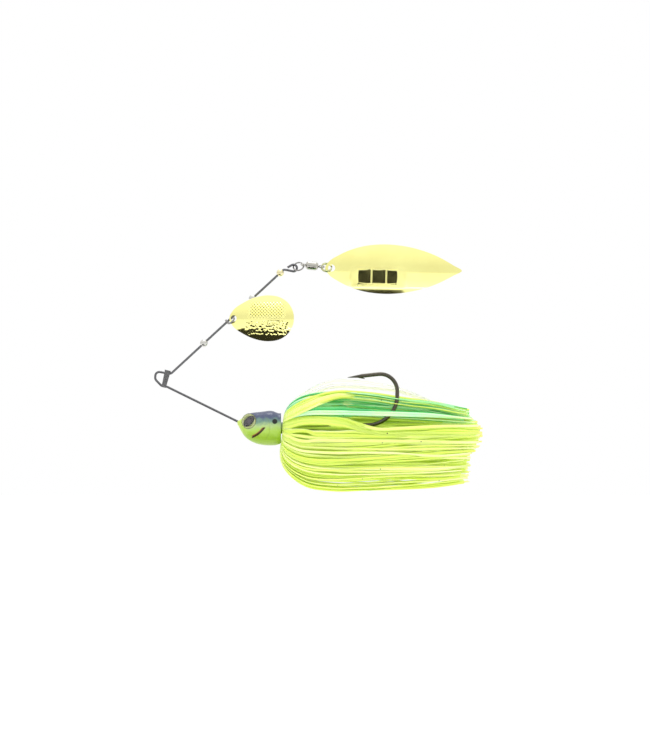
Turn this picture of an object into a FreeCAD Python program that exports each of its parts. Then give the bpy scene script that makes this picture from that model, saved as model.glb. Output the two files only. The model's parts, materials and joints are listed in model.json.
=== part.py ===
import FreeCAD, Part
import math
import os
import Sketcher
from FreeCAD import Placement, Rotation, Vector

# A spinnerbait, in millimetres. The origin is the centre of the line tie, +X runs back along the
# lure to the skirt's tails, +Z is up as it swims, and the wire frame and the hook lie in the plane Y = 0.

DIMENSIONS = {
    # wire frame
    "wire_diameter": 0.92,
    "arm_angle": 42.7,
    "arm_foot_x": 6.2,
    "arm_foot_z": 3.0,
    "arm_neck_at": 59.0,
    "end_loop_x": 53.4,
    "end_loop_z": 43.6,
    "end_loop_radius": 1.35,
    "end_loop_tail": 2.0,
    # winding that closes the line tie
    "binding_width": 2.2,
    "binding_thickness": 0.3,
    "binding_height": 7.0,
    # beads, and their places along the upper arm
    "bead_large": 3.2,
    "bead_small": 3.0,
    "bead_clearance": 0.06,
    "fixed_bead_clearance": 0.02,
    "bead_lower_at": 15.5,
    "bead_middle_at": 41.9,
    "bead_upper_at": 57.0,
    # clevis
    "clevis_at": 29.6,
    "clevis_reach": 4.2,
    "clevis_half_span": 1.45,
    "clevis_wire": 0.72,
    "clevis_ear": 2.1,
    "clevis_ear_thickness": 0.84,
    "clevis_lean": 20.0,
    # hook
    "hook_wire": 1.6,
    "hook_eye_radius": 2.0,
    "hook_eye_x": 40.8,
    "hook_eye_z": -20.4,
    "hook_point_length": 6.0,
    "hook_point_tip": 0.1,
    "barb_length": 2.6,
    "barb_root": 0.5,
    "barb_tip": 0.06,
    # head
    "head_nose_x": 31.0,
    "head_length": 17.4,
    "neck_radius": 2.3,
    "neck_length": 4.6,
    "keeper_radius": 2.75,
    "keeper_length": 1.6,
    "eye_radius": 3.1,
    "eye_foil": 0.3,
    "eye_dome": 4.6,
    # skirt
    "collar_x": 50.0,
    "collar_band": 1.1,
    "strand_layer": 0.9,
    "skirt_slot": 5.0,
    "skirt_slot_start": 56.0,
    # swivel
    "front_ring_radius": 2.1,
    "front_ring_wire": 0.58,
    "ring_tilt": 41.0,
    "swivel_eye_radius": 1.0,
    "swivel_eye_wire": 0.44,
    "barrel_radius": 1.75,
    "barrel_length": 5.0,
    "barrel_bore": 0.5,
    "barrel_wall": 0.6,
    "stem_radius": 0.43,
    "stem_head_radius": 1.0,
    "stem_eye_radius": 1.05,
    "stem_eye_wire": 0.44,
    "ball_radius": 0.36,
    "split_ring_radius": 2.05,
    "split_ring_radial": 0.45,
    "split_ring_axial": 0.8,
    # blades
    "blade_gauge": 0.5,
    "willow_length": 54.7,
    "willow_width": 19.6,
    "willow_hole_inset": 2.6,
    "willow_hole": 1.4,
    "willow_crown_along": 130.0,
    "willow_crown_across": 26.0,
    "indiana_length": 26.0,
    "indiana_width": 18.0,
    "indiana_hole_inset": 1.8,
    "indiana_hole": 1.25,
    "indiana_crown_along": 40.0,
    "indiana_crown_across": 15.0,
    "indiana_flare": 9.0,
}

# Bends of the wires in the plane Y = 0: the corner's X and Z, and the radius of its bend.
LINE_TIE_BENDS = [(2.8, -3.9, 1.5), (0.6, -3.55, 1.2), (-1.95, -0.9, 1.6), (-1.75, 2.3, 1.6),
                  (4.3, 1.25, 1.5)]
HOOK_BENDS = [(60.0, -20.4, 60.0), (94.9, -18.6, 11.8), (94.9, 1.95, 6.8)]
PEARL_BENDS = [(53.2, -4.2, 5.0), (72.0, 0.9, 26.0), (94.0, -4.2, 40.0)]

# Half outlines of the blades: part of the length from the hole end, part of the half width.
WILLOW_OUTLINE = [(0.0, 0.0), (0.03, 0.27), (0.10, 0.53), (0.25, 0.87), (0.43, 1.0),
                  (0.62, 0.90), (0.80, 0.60), (0.94, 0.20), (1.0, 0.0)]
INDIANA_OUTLINE = [(0.0, 0.0), (0.06, 0.35), (0.22, 0.68), (0.40, 0.91), (0.60, 1.0),
                   (0.78, 0.91), (0.91, 0.66), (0.98, 0.33), (1.0, 0.0)]

# Sections of the head: part of its length, height of the middle, half height, half width.
HEAD_SECTIONS = [(0.0, -18.3, 0.7, 0.7), (0.06, -18.95, 1.9, 1.6), (0.15, -19.6, 3.8, 3.0),
                 (0.29, -20.0, 5.5, 4.4), (0.46, -20.4, 6.35, 5.2), (0.63, -20.5, 6.8, 5.6),
                 (0.82, -20.5, 6.85, 5.6), (1.0, -20.4, 6.0, 5.0)]

# Sections of the skirt: place along X, height of the middle, half height, half width.
SKIRT_SECTIONS = [(51.4, -21.4, 7.5, 7.0), (54.0, -24.6, 15.6, 13.0), (60.0, -25.6, 19.2, 16.5),
                  (72.0, -25.7, 20.2, 18.0), (90.0, -26.4, 18.9, 17.0), (110.0, -27.2, 16.6, 14.5),
                  (129.6, -28.6, 13.6, 11.5)]

doc = FreeCAD.newDocument("spinnerbait")
sheet = doc.addObject("Spreadsheet::Sheet", "dims")
for row, (alias, value) in enumerate(DIMENSIONS.items(), start=1):
    sheet.set(f"A{row}", alias)
    sheet.set(f"B{row}", str(value))
    sheet.setAlias(f"B{row}", alias)
doc.recompute()


def size(alias):
    return float(sheet.get(alias))


# ---- places and directions that several pieces share

ALONG_X = Vector(1, 0, 0)
ALONG_Y = Vector(0, 1, 0)
ALONG_Z = Vector(0, 0, 1)
ARM_ANGLE = math.radians(size("arm_angle"))
ARM = Vector(math.cos(ARM_ANGLE), 0, math.sin(ARM_ANGLE))
ARM_FOOT = Vector(size("arm_foot_x"), 0, size("arm_foot_z"))
END_LOOP = Vector(size("end_loop_x"), 0, size("end_loop_z"))
HOOK_EYE = Vector(size("hook_eye_x"), 0, size("hook_eye_z"))
SWIVEL_SLOPE = math.radians(-6.0)
SWIVEL = Vector(math.cos(SWIVEL_SLOPE), 0, math.sin(SWIVEL_SLOPE))
SWIVEL_ROLL = -20.0
COLLAR_PLAY = 0.05


def on_arm(distance):
    """The point of the upper arm that lies this far up from its foot."""
    return ARM_FOOT + ARM * distance


def ring_frame(slope_degrees, tilt_degrees):
    """The directions of a ring that leans: along it through its two links, and out of its plane."""
    slope = math.radians(slope_degrees)
    tilt = math.radians(tilt_degrees)
    along = Vector(math.cos(slope), 0, math.sin(slope))
    rise = Vector(-math.sin(slope), 0, math.cos(slope))
    normal = ALONG_Y * math.cos(tilt) - rise * math.sin(tilt)
    return along, normal


FRONT_RING_ALONG, FRONT_RING_NORMAL = ring_frame(17.0, size("ring_tilt"))
FRONT_RING = END_LOOP + FRONT_RING_ALONG * size("front_ring_radius")
SWIVEL_EYE = END_LOOP + FRONT_RING_ALONG * (2 * size("front_ring_radius"))
BARREL_NOSE_AT = 0.85
STEM_EYE_GAP = 0.3
BARREL_NOSE = SWIVEL_EYE + SWIVEL * BARREL_NOSE_AT
STEM_EYE_AT = size("barrel_length") + size("stem_eye_radius") + STEM_EYE_GAP
STEM_EYE = BARREL_NOSE + SWIVEL * STEM_EYE_AT
SPLIT_RING_ALONG, SPLIT_RING_NORMAL = ring_frame(-7.0, size("ring_tilt"))
SPLIT_RING = STEM_EYE + SPLIT_RING_ALONG * size("split_ring_radius")
WILLOW_HOLE = STEM_EYE + SPLIT_RING_ALONG * (2 * size("split_ring_radius"))
WILLOW_DROOP = 1.2
INDIANA_HOLE = Vector(29.6, -2.9, 23.4)
SPEAR_START = Vector(81.0, 0, 0.45)
BINDING_MIDDLE = Vector(2.3, 0, -0.75)
BINDING_LEAN = 14.0
EYE_OUTWARD = Vector(-0.36, 0.92, 0.14)
EYE_SEAT = Vector(35.7, 3.3, -17.65)


# ---- helpers

def bind(item, **expressions):
    """Tie properties of a document object to cells of the sheet."""
    for name, expression in expressions.items():
        item.setExpression(name, expression)
    return item


def primitive(kind, name, place=Placement(), **expressions):
    item = doc.addObject(kind, name)
    bind(item, **expressions)
    item.Placement = place
    return item


def boolean(kind, name, base, tool):
    item = doc.addObject(kind, name)
    item.Base = base
    item.Tool = tool
    return item


def fuse_all(name, shapes):
    item = doc.addObject("Part::MultiFuse", name)
    item.Shapes = shapes
    return item


def compound(name, links):
    item = doc.addObject("Part::Compound", name)
    item.Links = links
    return item


def turned(direction, point=Vector()):
    """A placement that turns +Z onto a direction and moves the origin to a point."""
    return Placement(point, Rotation(ALONG_Z, direction))


def new_body(name):
    return doc.addObject("PartDesign::Body", name)


def sketch_on(body, role, name, offset=Vector()):
    sketch = body.newObject("Sketcher::SketchObject", name)
    plane = next(item for item in body.Origin.OriginFeatures if item.Role == role)
    sketch.AttachmentSupport = [(plane, "")]
    sketch.MapMode = "FlatFace"
    sketch.AttachmentOffset = Placement(offset, Rotation())
    return sketch


def rounded_route(points, radii):
    """Straight runs between 2D points, joined by tangent arcs of the given radii at the inner points."""
    geometry = []
    start = Vector(points[0][0], points[0][1], 0)
    for index, radius in enumerate(radii, start=1):
        corner = Vector(points[index][0], points[index][1], 0)
        after = Vector(points[index + 1][0], points[index + 1][1], 0)
        back = (start - corner).normalize()
        ahead = (after - corner).normalize()
        half_turn = (math.pi - back.getAngle(ahead)) / 2
        trim = radius * math.tan(half_turn)
        first = corner + back * trim
        last = corner + ahead * trim
        inward = (back + ahead).normalize()
        middle = corner + inward * (radius / math.cos(half_turn) - radius)
        if (first - start).Length > 1e-6:
            geometry.append(Part.LineSegment(start, first))
        geometry.append(Part.Arc(first, middle, last))
        start = last
    geometry.append(Part.LineSegment(start, Vector(points[-1][0], points[-1][1], 0)))
    return geometry


def bend_corners(centre, radius, headings):
    """Corners of the tangents round a circle, for a route that turns through these headings."""
    corners = []
    for before, after in zip(headings, headings[1:]):
        reach = radius / math.cos((after - before) / 2)
        facing = (before + after) / 2 - math.pi / 2
        corners.append((centre[0] + reach * math.cos(facing), centre[1] + reach * math.sin(facing)))
    return corners


def bent_wire(name, points, radii, start_plane, start_offset, diameter_alias):
    """Round wire bent in the plane Y = 0, from a start that is square to an origin plane."""
    body = new_body(name)
    spine = sketch_on(body, "XZ_Plane", name + "_route")
    spine.addGeometry(rounded_route(points, radii), False)
    section = sketch_on(body, start_plane, name + "_section", start_offset)
    section.addGeometry(Part.Circle(Vector(), ALONG_Z, size(diameter_alias) / 2), False)
    section.addConstraint(Sketcher.Constraint("Coincident", 0, 3, -1, 1))
    section.addConstraint(Sketcher.Constraint("Diameter", 0, size(diameter_alias)))
    section.setExpression("Constraints[1]", "dims." + diameter_alias)
    doc.recompute()
    pipe = body.newObject("PartDesign::AdditivePipe", name + "_sweep")
    pipe.Profile = section
    pipe.Spine = (spine, [f"Edge{number}" for number in range(1, spine.GeometryCount + 1)])
    spine.Visibility = False
    return body


def elliptic_loft(name, sections):
    """A loft along X through upright ellipses: place along X, middle height, half height, half width."""
    body = new_body(name)
    sketches = []
    for number, (along, middle, half_height, half_width) in enumerate(sections):
        sketch = sketch_on(body, "YZ_Plane", f"{name}_section_{number}", Vector(0, 0, along))
        centre = Vector(0, middle, 0)
        top = centre + Vector(0, half_height, 0)
        side = centre + Vector(half_width, 0, 0)
        ellipse = Part.Ellipse(top, side, centre) if half_height > half_width else \
            Part.Circle(centre, ALONG_Z, half_width)
        sketch.addGeometry(ellipse, False)
        sketches.append(sketch)
    doc.recompute()
    loft = body.newObject("PartDesign::AdditiveLoft", name + "_loft")
    loft.Profile = sketches[0]
    loft.Sections = sketches[1:]
    return body, sketches


# ---- wire frame and the winding on its line tie

def wire_frame():
    radius = size("end_loop_radius")
    neck = on_arm(size("arm_neck_at"))
    to_loop = END_LOOP - neck
    facing = math.atan2(to_loop.z, to_loop.x)
    spread = math.asin(radius / to_loop.Length)
    first_heading = facing - spread
    last_heading = facing + math.pi + spread
    third = (last_heading - first_heading) / 3
    headings = [first_heading + third * step for step in range(4)]
    loop = bend_corners((END_LOOP.x, END_LOOP.z), radius, headings)
    leaves_loop = (END_LOOP.x + radius * math.sin(last_heading), END_LOOP.z - radius * math.cos(last_heading))
    tail = size("end_loop_tail")
    tail_end = (leaves_loop[0] + tail * math.cos(last_heading),
                leaves_loop[1] + tail * math.sin(last_heading))
    below_eye, above_eye = 2.6, 2.5
    anchor_bottom = (HOOK_EYE.x, HOOK_EYE.z - below_eye)
    anchor_top = (HOOK_EYE.x, HOOK_EYE.z + above_eye)
    enters_head = (34.6, -19.54)
    line_tie = [(x, z) for x, z, _ in LINE_TIE_BENDS]
    line_tie_radii = [bend for _, _, bend in LINE_TIE_BENDS]
    anchor_radii = [1.0, 1.5]
    neck_radius = 1.1
    points = [anchor_bottom, anchor_top, enters_head] + line_tie + [(neck.x, neck.z)] + loop + [tail_end]
    radii = anchor_radii + line_tie_radii + [neck_radius] + [radius] * len(loop)
    start = Vector(anchor_bottom[0], 0, anchor_bottom[1])
    return bent_wire("wire_frame", points, radii, "XY_Plane", start, "wire_diameter")


def slot_outline(sketch, half_length, half_width, centre):
    """An upright stadium in a sketch whose second direction is up."""
    run = half_length - half_width
    for side in (1, -1):
        x = centre.x + side * half_width
        foot, top = Vector(x, centre.y - run, 0), Vector(x, centre.y + run, 0)
        sketch.addGeometry(Part.LineSegment(foot, top), False)
        tip = Vector(centre.x, centre.y + side * half_length, 0)
        left = Vector(centre.x - half_width, centre.y + side * run, 0)
        right = Vector(centre.x + half_width, centre.y + side * run, 0)
        sketch.addGeometry(Part.Arc(left, tip, right), False)


def line_tie_binding(frame):
    """Strand wound round both legs of the line tie, as one hollow band that the wire passes through."""
    body = new_body("binding_band")
    sketch = sketch_on(body, "YZ_Plane", "binding_section")
    half_height = size("binding_height") / 2
    wire_clearance = 0.01
    inner_half_width = size("wire_diameter") / 2 + wire_clearance
    thickness = size("binding_thickness")
    slot_outline(sketch, half_height, inner_half_width + thickness, Vector())
    slot_outline(sketch, half_height - thickness, inner_half_width, Vector())
    doc.recompute()
    pad = body.newObject("PartDesign::Pad", "binding_pad")
    pad.Profile = sketch
    pad.SideType = "Symmetric"
    bind(pad, Length="dims.binding_width")
    body.Placement = Placement(BINDING_MIDDLE, Rotation(ALONG_Y, BINDING_LEAN))
    return boolean("Part::Cut", "line_tie_binding", body, frame)


# ---- beads and clevis on the upper arm

def bead(name, distance_alias, diameter_alias, clearance_alias):
    place = turned(ARM, on_arm(size(distance_alias)))
    ball = primitive("Part::Sphere", name + "_ball", place, Radius=f"dims.{diameter_alias} / 2")
    length = size(diameter_alias) + 1
    start = on_arm(size(distance_alias)) - ARM * (length / 2)
    bore = primitive("Part::Cylinder", name + "_bore", turned(ARM, start),
                     Radius=f"dims.wire_diameter / 2 + dims.{clearance_alias}",
                     Height=f"dims.{diameter_alias} + 1")
    return boolean("Part::Cut", name, ball, bore)


def clevis():
    """A wire stirrup: two ears that turn on the arm and a bow that goes through the blade's hole."""
    reach = size("clevis_reach")
    half_span = size("clevis_half_span")
    leg_start = 0.6
    points = [(-half_span, leg_start), (-half_span, reach), (half_span, reach), (half_span, leg_start)]
    bow_radius = half_span * 0.98
    bow = bent_wire("clevis_bow", points, [bow_radius] * 2, "XY_Plane",
                    Vector(-half_span, 0, leg_start), "clevis_wire")
    ears = []
    for side in (-1, 1):
        ear = primitive("Part::Cylinder", "clevis_ear",
                        turned(ALONG_X, ALONG_X * (side * half_span - size("clevis_ear_thickness") / 2)),
                        Radius="dims.clevis_ear / 2", Height="dims.clevis_ear_thickness")
        ears.append(ear)
    stirrup = fuse_all("clevis_stirrup", [bow] + ears)
    bore_length = 8
    bore = primitive("Part::Cylinder", "clevis_bore",
                     Placement(Vector(-bore_length / 2, 0, 0), Rotation(ALONG_Z, ALONG_X)),
                     Radius="dims.wire_diameter / 2 + dims.bead_clearance")
    bore.Height = bore_length
    piece = boolean("Part::Cut", "clevis", stirrup, bore)
    lean = math.radians(size("clevis_lean"))
    down_arm = ARM.cross(ALONG_Y)
    reach_direction = ALONG_Y * -math.cos(lean) - down_arm * math.sin(lean)
    rotation = Rotation(ARM, reach_direction.cross(ARM), reach_direction, "XZY")
    piece.Placement = Placement(on_arm(size("clevis_at")), rotation)
    return piece


# ---- hook and head

def hook():
    """A bent wire with a flat eye at one end and a barbed point at the other."""
    shank_start = HOOK_EYE + ALONG_X * size("hook_eye_radius")
    corners = [(x, z) for x, z, _ in HOOK_BENDS]
    points = [(shank_start.x, shank_start.z)] + corners + [(SPEAR_START.x, SPEAR_START.z)]
    body = bent_wire("hook_shank", points, [radius for _, _, radius in HOOK_BENDS], "YZ_Plane",
                     Vector(0, shank_start.z, shank_start.x), "hook_wire")
    eye = primitive("Part::Torus", "hook_eye", Placement(HOOK_EYE, Rotation()),
                    Radius1="dims.hook_eye_radius", Radius2="dims.hook_wire / 2")
    last_corner = Vector(corners[-1][0], 0, corners[-1][1])
    forward = (SPEAR_START - last_corner).normalize()
    point = primitive("Part::Cone", "hook_point", turned(forward, SPEAR_START),
                      Radius1="dims.hook_wire / 2", Radius2="dims.hook_point_tip",
                      Height="dims.hook_point_length")
    barb_at = 1.4
    barb_sink = size("hook_wire") * 0.15
    barb_direction = (forward * -0.93 - ALONG_Z * 0.42).normalize()
    barb_place = turned(barb_direction, SPEAR_START + forward * barb_at - ALONG_Z * barb_sink)
    barb = primitive("Part::Cone", "hook_barb", barb_place, Radius1="dims.barb_root", Radius2="dims.barb_tip",
                     Height="dims.barb_length")
    return fuse_all("hook", [body, eye, point, barb])


def eye_place(side):
    """Where a painted eye sits on the head, with +Z pointing out of it."""
    outward = Vector(EYE_OUTWARD.x, side * EYE_OUTWARD.y, EYE_OUTWARD.z).normalize()
    return turned(outward, Vector(EYE_SEAT.x, side * EYE_SEAT.y, EYE_SEAT.z))


def lead_head(frame, hook_piece):
    """Lead cast round the end of the wire frame and the eye of the hook, with a keeper neck behind."""
    nose = size("head_nose_x")
    length = size("head_length")
    sections = [(nose + length * part, middle, half_height, half_width)
                for part, middle, half_height, half_width in HEAD_SECTIONS]
    form, sketches = elliptic_loft("head_form", sections)
    for sketch, (part, _, _, _) in zip(sketches, HEAD_SECTIONS):
        sketch.setExpression("AttachmentOffset.Base.z", f"dims.head_nose_x + dims.head_length * {part}")
    overlap = 1.0
    rear = Vector(nose + length - overlap, 0, HOOK_EYE.z)
    neck = primitive("Part::Cylinder", "head_neck", turned(ALONG_X, rear),
                     Radius="dims.neck_radius", Height=f"dims.neck_length + {overlap}")
    keeper_start = rear + ALONG_X * (size("neck_length") + overlap - size("keeper_length"))
    keeper = primitive("Part::Cone", "head_keeper", turned(ALONG_X, keeper_start),
                       Radius1="dims.keeper_radius", Radius2="dims.neck_radius", Height="dims.keeper_length")
    casting = fuse_all("head_casting", [form, neck, keeper])
    sockets = []
    socket_clearance = 0.05
    socket_depth = 6
    for side in (-1, 1):
        socket = primitive("Part::Cylinder", "eye_socket", eye_place(side),
                           Radius=f"dims.eye_radius + {socket_clearance}")
        socket.Height = socket_depth
        sockets.append(socket)
    cavities = compound("head_cavities", [frame, hook_piece] + sockets)
    return boolean("Part::Cut", "lead_head", casting, cavities)


def eye_pieces():
    """On each side a foil disc at the bottom of the socket, and a clear domed lens on it."""
    foils = []
    lenses = []
    rim = size("eye_radius")
    dome = size("eye_dome")
    sink = math.sqrt(dome ** 2 - rim ** 2)
    for side in (-1, 1):
        seat = eye_place(side)
        foils.append(primitive("Part::Cylinder", "eye_foil_disc", seat,
                               Radius="dims.eye_radius", Height="dims.eye_foil"))
        on_foil = seat.multiply(Placement(ALONG_Z * size("eye_foil"), Rotation()))
        ball_place = on_foil.multiply(Placement(ALONG_Z * -sink, Rotation()))
        ball = primitive("Part::Sphere", "eye_ball", ball_place, Radius="dims.eye_dome")
        cutter = primitive("Part::Cylinder", "eye_cutter", on_foil, Radius="dims.eye_radius + 1")
        cutter.Height = 3
        lenses.append(boolean("Part::Common", "eye_cap", ball, cutter))
    return compound("eye_foils", foils), compound("eye_lenses", lenses)


# ---- skirt

def skirt_collar():
    """The rubber band that squeezes the strands on the neck."""
    place = turned(ALONG_X, Vector(size("collar_x"), 0, HOOK_EYE.z))
    return primitive("Part::Torus", "skirt_collar", place,
                     Radius2="dims.collar_band / 2",
                     Radius1=f"dims.neck_radius + dims.strand_layer + dims.collar_band / 2 + {COLLAR_PLAY}")


def skirt_strands():
    """The spread skirt as a green upper and a chartreuse lower mass, open round the neck and the hook."""
    axis = Vector(0, 0, HOOK_EYE.z)
    spread, _ = elliptic_loft("skirt_spread", SKIRT_SECTIONS)
    sleeve_start = axis + ALONG_X * (size("collar_x") - 0.9)
    sleeve = primitive("Part::Cylinder", "skirt_sleeve", turned(ALONG_X, sleeve_start),
                       Radius="dims.neck_radius + dims.strand_layer")
    sleeve.Height = 3
    mass = fuse_all("skirt_mass", [spread, sleeve])
    neck_clearance = 0.02
    bore = primitive("Part::Cylinder", "skirt_bore", turned(ALONG_X, sleeve_start - ALONG_X),
                     Radius=f"dims.neck_radius + {neck_clearance}")
    bore.Height = 8
    keeper_room_start = 51.2
    keeper_clearance = 0.15
    keeper_place = turned(ALONG_X, axis + ALONG_X * keeper_room_start)
    keeper_room = primitive("Part::Cylinder", "keeper_room", keeper_place,
                            Radius=f"dims.keeper_radius + {keeper_clearance}")
    keeper_room.Height = 6
    slot = primitive("Part::Box", "hook_slot", Width="dims.skirt_slot")
    slot.Length = 80
    slot.Height = 40
    slot_bottom = HOOK_EYE.z - size("hook_wire")
    slot_corner = Vector(size("skirt_slot_start"), -size("skirt_slot") / 2, slot_bottom)
    slot.Placement = Placement(slot_corner, Rotation())
    room = compound("skirt_room", [bore, keeper_room, slot])
    open_mass = boolean("Part::Cut", "skirt_open", mass, room)
    pieces = []
    half = 60
    for name, bottom in (("skirt_green_strands", HOOK_EYE.z),
                         ("skirt_chartreuse_strands", HOOK_EYE.z - half)):
        corner = Vector(SKIRT_SECTIONS[0][0] - 10, -half / 2, bottom)
        half_space = primitive("Part::Box", name + "_half", Placement(corner, Rotation()))
        half_space.Length = 100
        half_space.Width = half
        half_space.Height = half
        pieces.append(boolean("Part::Common", name, open_mass, half_space))
    return pieces


def skirt_pearl_strands():
    """Two bundles of pale strands that flare highest and pass on either side of the hook's spear."""
    bundles = []
    root, tip = (50.6, -12.0), (110.0, -8.4)
    half_height, half_width = 0.9, 2.2
    from_middle = 5.6
    route = [root] + [(x, z) for x, z, _ in PEARL_BENDS] + [tip]
    radii = [radius for _, _, radius in PEARL_BENDS]
    for side in (-1, 1):
        name = "pearl_bundle_left" if side < 0 else "pearl_bundle_right"
        body = new_body(name)
        spine = sketch_on(body, "XZ_Plane", name + "_route")
        spine.addGeometry(rounded_route(route, radii), False)
        heading = Vector(route[1][0] - route[0][0], 0, route[1][1] - route[0][1]).normalize()
        section = body.newObject("Sketcher::SketchObject", name + "_section")
        section.Placement = turned(heading, Vector(route[0][0], 0, route[0][1]))
        oval = Part.Ellipse(Vector(0, half_width, 0), Vector(half_height, 0, 0), Vector())
        section.addGeometry(oval, False)
        doc.recompute()
        pipe = body.newObject("PartDesign::AdditivePipe", name + "_sweep")
        pipe.Profile = section
        pipe.Spine = (spine, [f"Edge{number}" for number in range(1, spine.GeometryCount + 1)])
        body.Placement = Placement(Vector(0, side * from_middle, 0), Rotation())
        bundles.append(body)
    return compound("skirt_pearl_strands", bundles)


# ---- swivel, rings and blades

def front_ring():
    return primitive("Part::Torus", "front_ring", turned(FRONT_RING_NORMAL, FRONT_RING),
                     Radius1="dims.front_ring_radius", Radius2="dims.front_ring_wire / 2")


def turned_profile(name, outline):
    """A body of revolution about X from an outline of (along, radius) points in the plane Y = 0."""
    body = new_body(name)
    sketch = sketch_on(body, "XZ_Plane", name + "_profile")
    points = [Vector(along, radius, 0) for along, radius in outline]
    for start, end in zip(points, points[1:] + points[:1]):
        sketch.addGeometry(Part.LineSegment(start, end), False)
    doc.recompute()
    turning = body.newObject("PartDesign::Revolution", name + "_turning")
    turning.Profile = sketch
    turning.ReferenceAxis = (sketch, ["H_Axis"])
    turning.Angle = 360
    return body


# A placement with its origin at the barrel's nose and +X along the swivel.
IN_SWIVEL = Placement(BARREL_NOSE, Rotation(ALONG_X, SWIVEL).multiply(Rotation(ALONG_X, SWIVEL_ROLL)))


def swivel_barrel():
    """The barrel with its bearing chamber, and the eye at its nose."""
    radius = size("barrel_radius")
    length = size("barrel_length")
    wall = size("barrel_wall")
    bore = size("barrel_bore")
    chamber = radius - 0.5
    shoulder = 0.45
    chamber_start = 2.4
    outline = [(0, 0), (0, radius * 0.5), (shoulder, radius * 0.82), (shoulder * 2, radius),
               (length - shoulder * 2, radius), (length - shoulder, radius * 0.85), (length, radius * 0.62),
               (length, bore), (length - wall, bore), (length - wall, chamber), (chamber_start, chamber),
               (chamber_start, 0)]
    shell = turned_profile("barrel_shell", outline)
    eye = primitive("Part::Torus", "barrel_eye", Placement(Vector(-BARREL_NOSE_AT, 0, 0), Rotation()),
                    Radius1="dims.swivel_eye_radius", Radius2="dims.swivel_eye_wire / 2")
    barrel = fuse_all("swivel_barrel", [shell, eye])
    barrel.Placement = IN_SWIVEL
    return barrel


def swivel_stem():
    """The stem whose head is held in the barrel by the balls, with its own eye behind."""
    radius = size("stem_radius")
    head = size("stem_head_radius")
    length = size("barrel_length")
    head_thickness = 0.7
    head_end = length - 1.6
    head_start = head_end - head_thickness
    rear = length + 0.5
    outline = [(head_start, 0), (head_start, head), (head_end, head), (head_end, radius), (rear, radius),
               (rear, 0)]
    shaft = turned_profile("stem_shaft", outline)
    eye = primitive("Part::Torus", "stem_eye", Placement(Vector(STEM_EYE_AT, 0, 0), Rotation()),
                    Radius1="dims.stem_eye_radius", Radius2="dims.stem_eye_wire / 2")
    stem = fuse_all("swivel_stem", [shaft, eye])
    stem.Placement = IN_SWIVEL
    return stem


def swivel_balls():
    """The ring of steel balls between the stem's head and the barrel's rear wall."""
    count = 6
    stem_play, wall_play = 0.03, 0.08
    orbit = size("stem_radius") + size("ball_radius") + stem_play
    along = size("barrel_length") - size("barrel_wall") - size("ball_radius") - wall_play
    balls = []
    for number in range(count):
        angle = 2 * math.pi * number / count
        place = Vector(along, orbit * math.cos(angle), orbit * math.sin(angle))
        balls.append(primitive("Part::Sphere", "swivel_ball", Placement(place, Rotation()),
                               Radius="dims.ball_radius"))
    ring = compound("swivel_balls", balls)
    ring.Placement = IN_SWIVEL
    return ring


def split_ring():
    """Two turns of flat spring wire, side by side, with a groove between them."""
    half_axial = size("split_ring_axial") / 2
    inner = size("split_ring_radius") - size("split_ring_radial") / 2
    outer = size("split_ring_radius") + size("split_ring_radial") / 2
    groove = 0.08
    outline = [(-half_axial, inner), (-half_axial, outer), (-groove, outer), (0, outer - groove),
               (groove, outer), (half_axial, outer), (half_axial, inner)]
    ring = turned_profile("split_ring", outline)
    ring.Placement = Placement(SPLIT_RING, Rotation(ALONG_X, SPLIT_RING_NORMAL))
    return ring


def blade(name, outline):
    """A domed blade: its outline cut from a shell that curves along and across, with the hole at the origin.

    The blade runs along +X in the plane Y = 0 and its crown faces -Y.
    """
    length = size(name + "_length")
    half_width = size(name + "_width") / 2
    inset = size(name + "_hole_inset")
    crown_along = size(name + "_crown_along")
    crown_across = size(name + "_crown_across")
    gauge = size("blade_gauge")
    body = new_body(name + "_outline")
    sketch = sketch_on(body, "XZ_Plane", name + "_half_outlines")
    for side in (1, -1):
        curve = Part.BSplineCurve()
        curve.interpolate([Vector(part * length - inset, side * width * half_width, 0)
                           for part, width in outline])
        sketch.addGeometry(curve, False)
    doc.recompute()
    pad = body.newObject("PartDesign::Pad", name + "_blank")
    pad.Profile = sketch
    pad.SideType = "Symmetric"
    pad.Length = 40
    middle = length / 2 - inset
    drop = middle ** 2 / (2 * crown_along)
    shells = []
    for surface, thickness in (("outer", gauge / 2), ("inner", -gauge / 2)):
        torus = primitive("Part::Torus", f"{name}_{surface}",
                          Placement(Vector(middle, crown_along - drop, 0), Rotation()))
        torus.Radius1 = crown_along - crown_across
        torus.Radius2 = crown_across + thickness
        shells.append(torus)
    shell = boolean("Part::Cut", name + "_shell", shells[0], shells[1])
    plate = boolean("Part::Common", name + "_plate", shell, body)
    drill_length = 10
    hole = primitive("Part::Cylinder", name + "_hole", turned(ALONG_Y, ALONG_Y * (-drill_length / 2)),
                     Radius=f"dims.{name}_hole")
    hole.Height = drill_length
    return boolean("Part::Cut", name + "_blade", plate, hole)


def willow_blade():
    piece = blade("willow", WILLOW_OUTLINE)
    piece.Placement = Placement(WILLOW_HOLE, Rotation(ALONG_Y, WILLOW_DROOP))
    return piece


def indiana_blade():
    piece = blade("indiana", INDIANA_OUTLINE)
    piece.Placement = Placement(INDIANA_HOLE, Rotation(ALONG_Z, -size("indiana_flare")))
    return piece


# ---- build, check and write the pieces

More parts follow.
